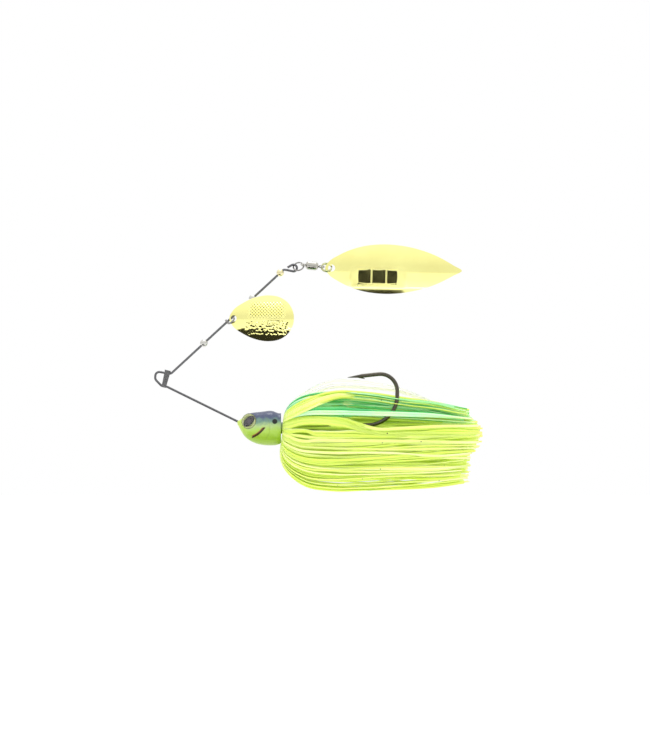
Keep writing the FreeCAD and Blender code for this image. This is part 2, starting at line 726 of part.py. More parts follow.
frame_piece = wire_frame()
hook_piece = hook()
foils, lenses = eye_pieces()
green_strands, chartreuse_strands = skirt_strands()
PIECES = {
    "wire_frame": frame_piece,
    "line_tie_binding": line_tie_binding(frame_piece),
    "hook": hook_piece,
    "lead_head": lead_head(frame_piece, hook_piece),
    "eye_foils": foils,
    "eye_lenses": lenses,
    "skirt_collar": skirt_collar(),
    "skirt_green_strands": green_strands,
    "skirt_chartreuse_strands": chartreuse_strands,
    "skirt_pearl_strands": skirt_pearl_strands(),
    "bead_lower": bead("bead_lower", "bead_lower_at", "bead_large", "bead_clearance"),
    "bead_middle": bead("bead_middle", "bead_middle_at", "bead_small", "bead_clearance"),
    "bead_upper": bead("bead_upper", "bead_upper_at", "bead_small", "fixed_bead_clearance"),
    "clevis": clevis(),
    "indiana_blade": indiana_blade(),
    "front_ring": front_ring(),
    "swivel_barrel": swivel_barrel(),
    "swivel_balls": swivel_balls(),
    "swivel_stem": swivel_stem(),
    "split_ring": split_ring(),
    "willow_blade": willow_blade(),
}
doc.recompute()

for item in doc.Objects:
    faults = [state for state in item.State if state in ("Invalid", "Error")]
    if faults:
        raise RuntimeError(f"{item.Label}: {faults}")

os.makedirs("parts", exist_ok=True)
for name, piece in PIECES.items():
    piece.Label = name
    shape = piece.Shape
    if shape.isNull() or not shape.isValid() or not shape.Solids:
        raise RuntimeError(f"{name}: the shape is not valid")
    shape.exportStep(f"parts/{name}.step")
    box = shape.optimalBoundingBox(False)
    print(f"{name:26s} solids {len(shape.Solids)}  volume {shape.Volume:9.2f} mm3  "
          f"X {box.XMin:6.1f} {box.XMax:6.1f}  Y {box.YMin:6.1f} {box.YMax:6.1f}  "
          f"Z {box.ZMin:6.1f} {box.ZMax:6.1f}")
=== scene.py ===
# %% [markdown]
# # A spinnerbait, finished piece by piece
#
# This notebook dresses a finished engineering model of a fishing lure. The model already has every part at its
# real size and place, so nothing here is moved. What is added is what the eye looks for: polished blades with
# their stamped patterns, a painted head, and a skirt of single silicone strands. Lengths are in metres, so a
# small constant turns millimetres into them. The cell below loads the model and keeps its outer box, which is
# compared with the finished lure's box at the end.

# %% Load the model
import json
import math
import random
import re

import bmesh
import bpy
from mathutils import Matrix, Vector


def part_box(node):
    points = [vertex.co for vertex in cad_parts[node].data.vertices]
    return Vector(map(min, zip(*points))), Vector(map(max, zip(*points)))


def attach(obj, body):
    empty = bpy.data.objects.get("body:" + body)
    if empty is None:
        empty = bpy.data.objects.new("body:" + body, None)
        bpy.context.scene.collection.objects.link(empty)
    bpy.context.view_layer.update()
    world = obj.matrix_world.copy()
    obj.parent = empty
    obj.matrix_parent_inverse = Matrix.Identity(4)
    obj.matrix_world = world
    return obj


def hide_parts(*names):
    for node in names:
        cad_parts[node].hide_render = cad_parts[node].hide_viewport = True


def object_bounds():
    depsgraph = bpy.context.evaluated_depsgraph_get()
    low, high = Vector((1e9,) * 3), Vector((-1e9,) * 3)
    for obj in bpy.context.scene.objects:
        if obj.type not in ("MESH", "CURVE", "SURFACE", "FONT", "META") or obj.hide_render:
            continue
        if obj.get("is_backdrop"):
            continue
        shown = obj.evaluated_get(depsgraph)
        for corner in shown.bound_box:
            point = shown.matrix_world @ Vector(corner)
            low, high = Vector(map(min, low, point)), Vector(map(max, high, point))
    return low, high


MM = 0.001
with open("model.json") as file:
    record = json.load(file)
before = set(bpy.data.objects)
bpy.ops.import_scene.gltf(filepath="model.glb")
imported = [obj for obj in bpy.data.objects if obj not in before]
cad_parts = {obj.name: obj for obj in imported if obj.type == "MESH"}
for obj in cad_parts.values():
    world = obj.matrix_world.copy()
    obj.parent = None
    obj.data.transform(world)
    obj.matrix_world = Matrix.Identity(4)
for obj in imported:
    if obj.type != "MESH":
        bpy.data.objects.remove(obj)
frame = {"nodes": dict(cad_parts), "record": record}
cad_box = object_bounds()
nodes = frame["nodes"]
joints = {joint["name"]: joint for joint in frame["record"]["behaviour"]["joints"]}
print("box in mm:", [[round(v / MM, 1) for v in corner] for corner in cad_box])

# %% [markdown]
# ## Camera and studio
#
# A lure is shown side on, against white. A long lens keeps the blades, which stand at different depths, at their
# true relative size. The camera looks along +Y, and its distance is worked out from the lens and the height of the
# picture in metres at the lure.

# %% Camera
PICTURE_HEIGHT = 300 * MM
PICTURE_CENTRE = Vector((66 * MM, 0, 0.8 * MM))
LENS = 135.0
SENSOR = 36.0

scene = bpy.context.scene
camera_data = bpy.data.cameras.new("camera")
camera_data.lens = LENS
camera_data.sensor_fit = "VERTICAL"
camera_data.sensor_height = SENSOR
camera_data.clip_start = 0.01
camera = bpy.data.objects.new("camera", camera_data)
scene.collection.objects.link(camera)
camera.location = PICTURE_CENTRE + Vector((0, -PICTURE_HEIGHT * LENS / SENSOR, 0))
camera.rotation_euler = (math.radians(90), 0, 0)
scene.camera = camera
print("camera distance in m:", round(PICTURE_HEIGHT * LENS / SENSOR, 3))

# %% [markdown]
# ## Colours and nodes
#
# Colours are picked as sRGB hex values, the way a designer reads them, but Blender calculates in linear light.
# One function makes the change. A second small function adds a node, sets its values and links its inputs, so
# that each material below reads like a recipe.

# %% Colour and node helpers


def linear(hex_colour):
    """An sRGB hex colour as linear RGBA."""
    channels = [int(hex_colour[i:i + 2], 16) / 255 for i in (1, 3, 5)]
    return tuple(c / 12.92 if c <= 0.04045 else ((c + 0.055) / 1.055) ** 2.4 for c in channels) + (1.0,)


def feed(tree, node, **inputs):
    """Sets a node's inputs to values, or links them from nodes or sockets. An input is named, or i0, i1 by place."""
    for name, value in inputs.items():
        if re.fullmatch("i[0-9]", name):
            socket = node.inputs[int(name[1:])]
        else:
            socket = next(s for s in node.inputs if s.enabled and s.name == name.replace("_", " "))
        if isinstance(value, bpy.types.Node):
            value = next(output for output in value.outputs if output.enabled)
        if isinstance(value, bpy.types.NodeSocket):
            tree.links.new(value, socket)
        else:
            socket.default_value = linear(value) if isinstance(value, str) and value[:1] == "#" else value


def add_node(tree, kind, settings=None, **inputs):
    """Adds a node and feeds its inputs. Settings are its properties, or just its operation; a colour ramp's
    stops are (position, colour) pairs."""
    node = tree.nodes.new(kind)
    settings = {"operation": settings} if isinstance(settings, str) else settings or {}
    for name, value in settings.items():
        if name == "stops":
            elements = node.color_ramp.elements
            while len(elements) < len(value):
                elements.new(0.5)
            for element, (position, colour) in zip(elements, value):
                element.position = position
                element.color = linear(colour)
        else:
            setattr(node, name, value)
    feed(tree, node, **inputs)
    return node


def new_material(name, **shader_inputs):
    """A material with one Principled shader; returns the material, its tree, the shader and the object's place."""
    material = bpy.data.materials.new(name)
    material.use_nodes = True
    tree = material.node_tree
    tree.nodes.clear()
    shader = add_node(tree, "ShaderNodeBsdfPrincipled", None, **shader_inputs)
    add_node(tree, "ShaderNodeOutputMaterial", None, Surface=shader)
    return material, tree, shader, add_node(tree, "ShaderNodeTexCoord").outputs["Object"]


MATH, MIX, RAMP, RANGE = "ShaderNodeMath", "ShaderNodeMix", "ShaderNodeValToRGB", "ShaderNodeMapRange"
NOISE, VORONOI, VECTOR = "ShaderNodeTexNoise", "ShaderNodeTexVoronoi", "ShaderNodeVectorMath"
SPLIT, JOIN, BUMP = "ShaderNodeSeparateXYZ", "ShaderNodeCombineXYZ", "ShaderNodeBump"
BLEND, SMOOTH = {"data_type": "RGBA"}, {"interpolation_type": "SMOOTHSTEP"}

# %% [markdown]
# ## Light
#
# Polished metal shows what stands round it, so the studio matters more than the lamps. The world is a white light
# tent, brightest at the top. One soft lamp hangs overhead, a fill beside the camera isn't mirrored in any metal, and
# a thin strip low in front draws bright lines on polished surfaces. Dark cards, called flags, are only seen in
# reflections. The low one puts dark crescents along the blades' lower edges, which make gold look polished and not
# like paint. The flat stamped plate shows the one below the camera.

# %% World, lamps, floor and flags
FLOOR_DROP = 260 * MM
FLOOR_REACH = (-6.0, 6.0)

world = bpy.data.worlds.new("light_tent")
scene.world = world
world.use_nodes = True
world_tree = world.node_tree
background = world_tree.nodes["Background"]
direction = add_node(world_tree, SPLIT, None, Vector=add_node(world_tree, "ShaderNodeTexCoord").outputs["Generated"])
brightness = add_node(world_tree, RANGE, None, Value=direction.outputs["Z"], From_Min=0.15, From_Max=0.8,
                      To_Min=1.0, To_Max=1.4)
feed(world_tree, background, Color="#ffffff", Strength=brightness)
scene.view_settings.view_transform = "Standard"


def add_lamp(name, place, width, height, power):
    """A soft lamp that points at the middle of the picture. Places and sizes are in metres, power in watts."""
    data = bpy.data.lights.new(name, "AREA")
    data.shape = "RECTANGLE"
    data.size, data.size_y = width, height
    data.energy = power
    lamp = bpy.data.objects.new(name, data)
    scene.collection.objects.link(lamp)
    lamp.location = place
    lamp.rotation_euler = (PICTURE_CENTRE - Vector(place)).to_track_quat("-Z", "Y").to_euler()
    return lamp


add_lamp("overhead_lamp", (0.07, 0.15, 0.75), 0.30, 0.30, 1.6)
add_lamp("low_strip", (0.06, -0.50, -0.262), 0.36, 0.012, 0.055)
fill_lamp = add_lamp("fill_lamp", (0.05, -0.90, 0.25), 0.50, 0.50, 1.3)
fill_lamp.visible_glossy = False


def add_card(name, x_range, y_range, z_range, material):
    """A rectangle. One range is a single value: the card is level when it is Z, and upright when it is Y."""
    (left, right), (near, far), (low, high) = x_range, y_range, z_range
    if low == high:
        corners = (left, near, low), (right, near, low), (right, far, low), (left, far, low)
    else:
        corners = (left, near, low), (right, near, low), (right, near, high), (left, near, high)
    mesh = bpy.data.meshes.new(name)
    mesh.from_pydata(corners, [], [(0, 1, 2, 3)])
    card = bpy.data.objects.new(name, mesh)
    card.data.materials.append(material)
    scene.collection.objects.link(card)
    card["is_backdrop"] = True
    return card


floor_paint, *_ = new_material("white_tabletop", Roughness=0.9, Base_Color="#fbfbfb", Emission_Color="#ffffff",
                               Emission_Strength=0.04)
floor_z = cad_box[0][2] - FLOOR_DROP
add_card("floor", FLOOR_REACH, FLOOR_REACH, (floor_z, floor_z), floor_paint)

flag_paint, *_ = new_material("black_flag_cloth", Roughness=1.0, Base_Color="#15140f")


def add_flag(name, x_range, y_range, z_range):
    """A black card that only reflections show."""
    flag = add_card(name, x_range, y_range, z_range, flag_paint)
    flag.visible_camera = False
    flag.visible_diffuse = False
    flag.visible_shadow = False


add_flag("low_flag", (-0.33, 0.13), (-0.40, -0.06), (-0.24, -0.24))
add_flag("camera_flag", (-0.15, 0.12), (-1.05, -1.05), (-0.34, -0.11))
print("floor at mm:", round(floor_z / MM, 1))

# %% [markdown]
# ## Finishes for metal
#
# The frame is grey drawn spring steel. The hook is plated in black nickel, the two loose beads and the swivel's
# barrel in bright nickel, and the clevis and small rings in a duller one. The upper bead and the split ring are
# gold. Each is a fully metallic surface whose base colour is the colour of its reflections. Fine bump and slightly
# uneven roughness keep it from looking computed.

# %% Plain metals


def plated_metal(name, colour, roughness, grain_mm, bump):
    """Metal whose gloss wanders a little, with a fine grain of the given size."""
    material, tree, shader, place = new_material(name, Metallic=1.0, Base_Color=colour)
    grain = add_node(tree, NOISE, None, Vector=place, Scale=1 / (grain_mm * MM), Detail=3.0)
    gloss = add_node(tree, RANGE, None, Value=grain, To_Min=roughness * 0.75, To_Max=roughness * 1.3)
    relief = add_node(tree, BUMP, None, Height=grain, Strength=bump, Distance=0.02 * MM)
    feed(tree, shader, Roughness=gloss, Normal=relief)
    return material


def dress(node_name, material):
    """Gives a node of the model its finish."""
    mesh = nodes[node_name].data
    mesh.materials.clear()
    mesh.materials.append(material)


METALS = [("drawn_spring_steel", "#69696b", 0.34, 0.25, 0.35, ["wire_frame"]),
          ("black_nickel_plate", "#56534a", 0.22, 0.4, 0.15, ["hook"]),
          ("bright_nickel_bead", "#c3c2bd", 0.12, 0.5, 0.05, ["bead_lower", "bead_middle", "swivel_balls"]),
          ("dull_nickel_plate", "#8d8b88", 0.2, 0.4, 0.1, ["clevis", "front_ring", "swivel_stem"]),
          ("rolled_nickel_barrel", "#b0aea6", 0.16, 0.4, 0.1, ["swivel_barrel"]),
          ("gold_plated_brass", "#dcd3a8", 0.12, 0.5, 0.05, ["bead_upper"]),
          ("antique_gold_plate", "#a5a67c", 0.2, 0.4, 0.1, ["split_ring"])]
for *look, node_names in METALS:
    metal = plated_metal(*look)
    for node_name in node_names:
        dress(node_name, metal)

# %% [markdown]
# ## Blades
#
# A spinnerbait blade is stamped from thin brass, domed in a press and plated. The press gives it a curve along
# its length and a tighter one across. Here each blade is a grid of rows between two outlines, lifted onto that
# dome, so its polish has smooth shading. Solidify gives it its gauge, and a boolean cuts the hole. The outline is a
# short list of (part of the length, part of the half width), mirrored past both tips so that the curve goes round
# them. What is stamped into a blade is part of its shape: a function gives the height of each point of the stamped
# surface. All sizes here are in mm, and the finished blade is scaled once.

# %% Blade shapes
WILLOW_OUTLINE = [(0.0, 0.0), (0.03, 0.27), (0.10, 0.53), (0.25, 0.87), (0.43, 1.0),
                  (0.62, 0.90), (0.80, 0.60), (0.94, 0.20), (1.0, 0.0)]
INDIANA_OUTLINE = [(0.0, 0.0), (0.06, 0.35), (0.22, 0.68), (0.40, 0.91), (0.60, 1.0),
                   (0.78, 0.91), (0.91, 0.66), (0.98, 0.33), (1.0, 0.0)]
WILLOW = {"length": 54.7, "width": 19.6, "inset": 2.6, "hole_radius": 1.4, "along_radius": 130,
          "across_radius": 26, "grid": 0.16}
INDIANA = {"length": 26.0, "width": 18.0, "inset": 1.8, "hole_radius": 1.25, "along_radius": 40,
           "across_radius": 15, "grid": 0.12}
BLADE_GAUGE = 0.5
OUTLINE_POINTS = 900
TIP_CROWDING = 0.15
SHARP_ANGLE = math.radians(60)
WELD = 0.01
SLIVER = 0.003


def smooth_line(points, count):
    """Points spread evenly along a smooth curve through the given ones."""
    points = [Vector(point) for point in points]
    gaps = [(b - a).length for a, b in zip(points, points[1:])]
    chords = [(b - a) / gap for a, b, gap in zip(points, points[1:], gaps)]
    slopes = [chords[0]]
    for i in range(1, len(gaps)):
        slopes.append((chords[i - 1] * gaps[i] + chords[i] * gaps[i - 1]) / (gaps[i - 1] + gaps[i]))
    slopes.append(chords[-1])
    fine = []
    pieces = 16
    for i, gap in enumerate(gaps):
        for step in range(pieces):
            t = step / pieces
            fine.append(points[i] * (2 * t ** 3 - 3 * t ** 2 + 1) + slopes[i] * (gap * (t ** 3 - 2 * t ** 2 + t))
                        + points[i + 1] * (3 * t ** 2 - 2 * t ** 3) + slopes[i + 1] * (gap * (t ** 3 - t ** 2)))
    fine.append(points[-1])
    reached = [0.0]
    for before, after in zip(fine, fine[1:]):
        reached.append(reached[-1] + (after - before).length)
    line, i = [], 0
    for step in range(count + 1):
        target = reached[-1] * step / count
        while i < len(reached) - 2 and reached[i + 1] < target:
            i += 1
        span = reached[i + 1] - reached[i]
        line.append(fine[i].lerp(fine[i + 1], (target - reached[i]) / span if span else 0))
    return line


def apply_modifiers(piece):
    """Gives the piece the mesh that its modifiers make, and returns it."""
    graph = bpy.context.evaluated_depsgraph_get()
    graph.update()
    mesh = bpy.data.meshes.new_from_object(piece.evaluated_get(graph))
    piece.modifiers.clear()
    piece.data = mesh
    return mesh


def finish_mesh(piece):
    """Applies every modifier, then shades smooth except across sharp edges."""
    mesh = apply_modifiers(piece)
    mesh.shade_smooth()
    mesh.set_sharp_from_angle(angle=SHARP_ANGLE)


def drop_slivers(mesh, size):
    """Makes triangles and removes those without area, and pairs back to back, which a cut leaves behind."""
    build = bmesh.new()
    build.from_mesh(mesh)
    bmesh.ops.dissolve_degenerate(build, dist=size, edges=build.edges)
    bmesh.ops.triangulate(build, faces=build.faces)
    seen = {}
    for face in build.faces:
        seen.setdefault(frozenset(corner.index for corner in face.verts), []).append(face)
    doubled = [face for faces in seen.values() if len(faces) > 1 for face in faces]
    bmesh.ops.delete(build, geom=doubled, context="FACES")
    build.to_mesh(mesh)
    build.free()


def link_piece(name, mesh, material):
    """A new object in the scene. Without a material, its mesh keeps what it has."""
    piece = bpy.data.objects.new(name, mesh)
    scene.collection.objects.link(piece)
    if material:
        mesh.materials.append(material)
    return piece


def drill_hole(blade, radius):
    """Cuts a round hole through the blade at the origin."""
    drill = bmesh.new()
    bmesh.ops.create_cone(drill, cap_ends=True, segments=64, radius1=radius, radius2=radius, depth=8,
                          matrix=Matrix.Rotation(math.radians(90), 4, "X"))
    drill_mesh = bpy.data.meshes.new("drill")
    drill.to_mesh(drill_mesh)
    drill.free()
    cutter = link_piece("drill", drill_mesh, None)
    cut = blade.modifiers.new("hole", "BOOLEAN")
    cut.operation = "DIFFERENCE"
    cut.object = cutter
    finish_mesh(blade)
    drop_slivers(blade.data, SLIVER)
    bpy.data.objects.remove(cutter)


def domed_blade(name, outline, stamp, material, length, width, inset, hole_radius, along_radius, across_radius,
                grid):
    """A blade along +X with its hole at the origin and its crown towards -Y. The inset is from its tip to the
    hole's middle, and the grid is the size of its faces."""
    rim = [(a * length, w * width / 2) for a, w in outline]
    past_tips = (rim[1][0], -rim[1][1]), (rim[-2][0], -rim[-2][1])
    around = smooth_line([past_tips[0], *rim, past_tips[1]], OUTLINE_POINTS)
    upper = [point for point in around if point.y >= 0]
    middle = length / 2 - inset
    drop = middle ** 2 / (2 * along_radius)
    rows, columns = int(length / grid), int(width / grid)
    build = bmesh.new()
    mesh_rows = []
    i = 0
    for row in range(rows + 1):
        along = (length * (1 - math.cos(math.pi * row / rows)) / 2 * TIP_CROWDING
                 + length * row / rows * (1 - TIP_CROWDING))
        while i < len(upper) - 2 and upper[i + 1].x < along:
            i += 1
        span = upper[i + 1].x - upper[i].x
        half = 0.0 if row in (0, rows) else upper[i].lerp(upper[i + 1], (along - upper[i].x) / span).y
        line = []
        for column in range(columns + 1):
            x, z = along - inset, half * (2 * column / columns - 1)
            dome = along_radius - math.sqrt(along_radius ** 2 - (x - middle) ** 2)
            dome += across_radius - math.sqrt(across_radius ** 2 - z * z)
            line.append(build.verts.new((x, stamp(x, z, dome) - drop, z)))
        mesh_rows.append(line)
    for near, far in zip(mesh_rows, mesh_rows[1:]):
        for column in range(columns):
            build.faces.new((near[column], near[column + 1], far[column + 1], far[column]))
    bmesh.ops.remove_doubles(build, verts=build.verts, dist=WELD)
    bmesh.ops.recalc_face_normals(build, faces=build.faces)
    mesh = bpy.data.meshes.new(name)
    build.to_mesh(mesh)
    build.free()
    blade = link_piece(name, mesh, material)
    gauge = blade.modifiers.new("gauge", "SOLIDIFY")
    gauge.thickness = BLADE_GAUGE
    gauge.offset = 0
    finish_mesh(blade)
    drill_hole(blade, hole_radius)
    return blade


# %% [markdown]
# ## Stamps
#
# The short blade has a diamond knurl above its middle line, 1.3 mm from diamond to diamond, and hammered dimples
# below. The long one has a small flat plate with two ribs, in a field of fine cross hatching. A curved mirror
# shows the whole room, but a flat one shows one patch of it, so the plate turns dark or bright as a whole. X is
# measured from the hole and Z from the blade's middle line. The crown is towards -Y, so a lower height stands out.

# %% Stamped reliefs


def smoothstep(low, high, value):
    """0 below the low value and 1 above the high one, with a soft start and end."""
    part = max(0.0, min(1.0, (value - low) / (high - low)))
    return part * part * (3 - 2 * part)


def inside(value, low, high, edge):
    """1 between two values and 0 outside, changing over the edge on both sides of each."""
    return smoothstep(low - edge, low + edge, value) * (1 - smoothstep(high - edge, high + edge, value))


def diamonds(x, z, pitch):
    """Flat sided pyramids from -1 to 1, repeating along two slanted directions."""
    turn = 2 * math.pi / pitch
    return (math.asin(math.cos((x + z) * turn)) + math.asin(math.cos((x - z) * turn))) / math.pi


def dimple(x, z, cell, seed):
    """0 at a dimple's rim to 1 at its middle, for dimples scattered one to a cell."""
    depth = 0.0
    for i in (-1, 0, 1):
        for j in (-1, 0, 1):
            column, row = math.floor(x / cell) + i, math.floor(z / cell) + j
            chance = random.Random(seed + column * 92821 + row * 68917)
            middle_x, middle_z = (column + chance.random()) * cell, (row + chance.random()) * cell
            away = math.hypot(x - middle_x, z - middle_z) / (cell * chance.uniform(0.55, 0.8))
            depth = max(depth, 1 - away * away)
    return depth


KNURL_HEIGHT, KNURL_PITCH = 0.26, 1.3
DIMPLE_DEPTH, DIMPLE_CELL, DIMPLE_SEED = 0.14, 1.25, 7
HATCH_HEIGHT, HATCH_PITCH = 0.07, 1.0


def indiana_stamp(x, z, dome):
    knurl = inside(x, 6.5, 20.5, 1.2) * inside(z, 0.4, 6.6, 0.7)
    hammered = inside(x, 5.0, 21.5, 1.2) * inside(z, -6.4, -1.2, 0.4)
    height = dome - KNURL_HEIGHT * knurl * diamonds(x, z, KNURL_PITCH)
    if hammered > 0:
        height += DIMPLE_DEPTH * hammered * dimple(x, z, DIMPLE_CELL, DIMPLE_SEED)
    return height


PLATE_X, PLATE_Z, PLATE_HALF_LENGTH, PLATE_HALF_HEIGHT = 18.5, -3.1, 8.0, 2.8
PLATE_SINK = 0.2
RIBS = [(-2.6, -2.4), (3.3, 3.5)]
RIB_HEIGHT = 0.12


def willow_stamp(x, z, dome):
    hatch = inside(x, 8.0, 29.5, 1.5) * inside(z, -7.0, 1.2, 0.8)
    height = dome - HATCH_HEIGHT * hatch * diamonds(x, z, HATCH_PITCH)
    away_x, away_z = x - PLATE_X, z - PLATE_Z
    plate = (inside(away_x, -PLATE_HALF_LENGTH, PLATE_HALF_LENGTH, 0.25)
             * inside(away_z, -PLATE_HALF_HEIGHT, PLATE_HALF_HEIGHT, 0.25))
    middle, along, across = WILLOW["length"] / 2 - WILLOW["inset"], WILLOW["along_radius"], WILLOW["across_radius"]
    flat = ((PLATE_X - middle) ** 2 / (2 * along) + PLATE_Z ** 2 / (2 * across)
            + (PLATE_X - middle) / along * away_x + PLATE_Z / across * away_z + PLATE_SINK)
    ribs = sum(inside(away_x, low, high, 0.1) for low, high in RIBS)
    return height + (flat - RIB_HEIGHT * ribs - height) * plate


# %% [markdown]
# ## Gold finish for the blades
#
# The blades are brass, polished, nickelled and flashed with a thin pale gold, so their colour comes from what they
# reflect. Handling leaves the gloss uneven in patches about 5 mm across, and the press leaves a faint ripple.

# %% Gold finishes


def soft_window(tree, value, low, high, edge):
    """1 between two values of a coordinate, falling to 0 outside over the given edge."""
    rise = add_node(tree, RANGE, SMOOTH, Value=value, From_Min=low - edge, From_Max=low + edge)
    fall = add_node(tree, RANGE, SMOOTH, Value=value, From_Min=high + edge, From_Max=high - edge)
    return add_node(tree, MATH, "MULTIPLY", i0=rise, i1=fall)


def gold_blade_finish(name):
    material, tree, shader, place = new_material(name, Metallic=1.0)
    tarnish = add_node(tree, NOISE, None, Vector=place, Scale=1 / (9 * MM), Detail=3.0)
    shade = add_node(tree, RAMP, {"stops": [(0.3, "#f6f29e"), (0.7, "#f0ea96")]}, Fac=tarnish)
    wear = add_node(tree, NOISE, None, Vector=place, Scale=1 / (5 * MM), Detail=4.0)
    gloss = add_node(tree, RANGE, None, Value=wear, To_Min=0.05, To_Max=0.14)
    ripple = add_node(tree, NOISE, None, Vector=place, Scale=1 / (3 * MM), Detail=2.0)
    relief = add_node(tree, BUMP, None, Height=ripple, Strength=0.06, Distance=0.05 * MM)
    feed(tree, shader, Base_Color=shade, Roughness=gloss, Normal=relief)
    return material


PALE_GOLD = gold_blade_finish("polished_gold_plated_brass")

# %% Make both blades
WILLOW_LEAN = math.radians(1.2), 4, "Y"
INDIANA_LEAN = math.radians(-9), 4, "Z"
WILLOW_HOLE = Vector((2.034, 0, -0.25)) * MM

for body, joint, outline, stamp, sizes, lean, hole in (
        ("willow_blade", "willow_swing", WILLOW_OUTLINE, willow_stamp, WILLOW, WILLOW_LEAN, WILLOW_HOLE),
        ("indiana_blade", "indiana_swing", INDIANA_OUTLINE, indiana_stamp, INDIANA, INDIANA_LEAN, Vector())):
    blade = domed_blade(f"{body}_polished", outline, stamp, PALE_GOLD, **sizes)
    place = Vector(joints[joint]["pos_m"]) + hole
    blade.data.transform(Matrix.Translation(place) @ Matrix.Rotation(*lean) @ Matrix.Scale(MM, 4))
    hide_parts(body)
    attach(blade, body)
    print(blade.name, "triangles:", sum(len(p.vertices) - 2 for p in blade.data.polygons))

# %% [markdown]
# ## Painted head
#
# The lead is powder painted: a chartreuse belly, a blue grey back airbrushed over it so that the two meet in a
# soft teal, and a clear coat on top. The height in the head's own box drives the main blend. The snout is paler.
# The gill spot is a painted detail. The gill and the mouth are grooves, given a little relief, and their dark colour
# is painted shade in the grooves. Each is a ring or a disc seen from the side, given by its middle and its inner and
# outer reach.

# %% Head paint
head_low, head_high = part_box("lead_head")
BELLY_TO_BACK = [(0.0, "#8ba838"), (0.22, "#86ab22"), (0.42, "#9ec04a"), (0.57, "#a2bb7a"),
                 (0.70, "#648476"), (0.82, "#424c69"), (1.0, "#343a58")]
GILL_SPOT = (46.0 * MM, -17.7 * MM)
MOUTH_MIDDLE = (33.2 * MM, -14.3 * MM)
GILL_MIDDLE = (37.2 * MM, -20.3 * MM)
SNOUT_DEPTH = 4.5 * MM


def head_paint():
    material, tree, shader, place = new_material("airbrushed_powder_paint", Roughness=0.38, Coat_Weight=0.3,
                                                 Coat_Roughness=0.12, Specular_IOR_Level=0.3)
    axes = add_node(tree, SPLIT, None, Vector=place)
    x, z = axes.outputs["X"], axes.outputs["Z"]
    spray = add_node(tree, NOISE, None, Vector=place, Scale=1 / (1.6 * MM), Detail=5.0)
    height = add_node(tree, RANGE, None, Value=z, From_Min=head_low.z, From_Max=head_high.z, To_Min=-0.11,
                      To_Max=0.89)
    level = add_node(tree, MATH, "MULTIPLY_ADD", i0=spray, i1=0.22, i2=height)
    snout = add_node(tree, RANGE, SMOOTH, Value=x, From_Min=head_low.x + SNOUT_DEPTH, From_Max=head_low.x,
                     To_Max=0.45)
    colour = add_node(tree, RAMP, {"stops": BELLY_TO_BACK}, Fac=add_node(tree, MATH, "SUBTRACT", i0=level, i1=snout))
    colour = add_node(tree, MIX, BLEND, Factor=snout, A=colour, B="#e2f084")

    def distance_from(centre):
        flat = add_node(tree, JOIN, None, X=x, Z=z)
        return add_node(tree, VECTOR, "DISTANCE", i0=flat, i1=(centre[0], 0, centre[1])).outputs["Value"]

    def product(first, *others):
        for other in others:
            first = add_node(tree, MATH, "MULTIPLY", i0=first, i1=other)
        return first

    gill_spot = soft_window(tree, distance_from(GILL_SPOT), -1.0, 1.0 * MM, 0.12 * MM)
    mouth_reach = distance_from(MOUTH_MIDDLE)
    jaw = product(soft_window(tree, z, -30 * MM, -20.1 * MM, 0.3 * MM),
                  soft_window(tree, x, 36.9 * MM, 46 * MM, 0.3 * MM))
    lip = product(soft_window(tree, mouth_reach, 9.7 * MM, 10.8 * MM, 0.12 * MM), jaw)
    mouth_groove_and_shade = product(soft_window(tree, mouth_reach, 10.05 * MM, 10.75 * MM, 0.1 * MM), jaw)
    gill_groove_and_shade = product(soft_window(tree, distance_from(GILL_MIDDLE), 6.7 * MM, 6.95 * MM, 0.15 * MM),
                   soft_window(tree, x, 42.2 * MM, 47 * MM, 0.5 * MM), 0.3)
    # The mouth's and the gill's dark colours are painted shade in their grooves.
    for mask, over in ((gill_spot, "#030c05"), (gill_groove_and_shade, "#6c8034"), (lip, "#8f5a26"), (mouth_groove_and_shade, "#332c04")):
        colour = add_node(tree, MIX, BLEND, Factor=mask, A=colour, B=over)
    engraved = product(add_node(tree, MATH, "ADD", i0=mouth_groove_and_shade, i1=gill_groove_and_shade), -1.0)
    relief = add_node(tree, BUMP, None, Height=engraved, Strength=0.8, Distance=0.25 * MM)
    feed(tree, shader, Base_Color=colour, Normal=relief)
    return material


dress("lead_head", head_paint())

# %% [markdown]
# ## Eyes
#
# Each eye is a printed foil under a clear domed lens. The print is a gold ring round a dark oval pupil that
# leans back. A pale band near the ring's rim is a painted highlight, and the pupil's purplish middle is a painted
# reflection. Taking the absolute value of Y lets one pattern serve both sides. So thin a lens hardly bends light:
# it is clear, with a mirror like gloss that grows towards its edge.

# %% Eye print and lens
EYE_OUTWARD = Vector((-0.36, 0.92, 0.14))


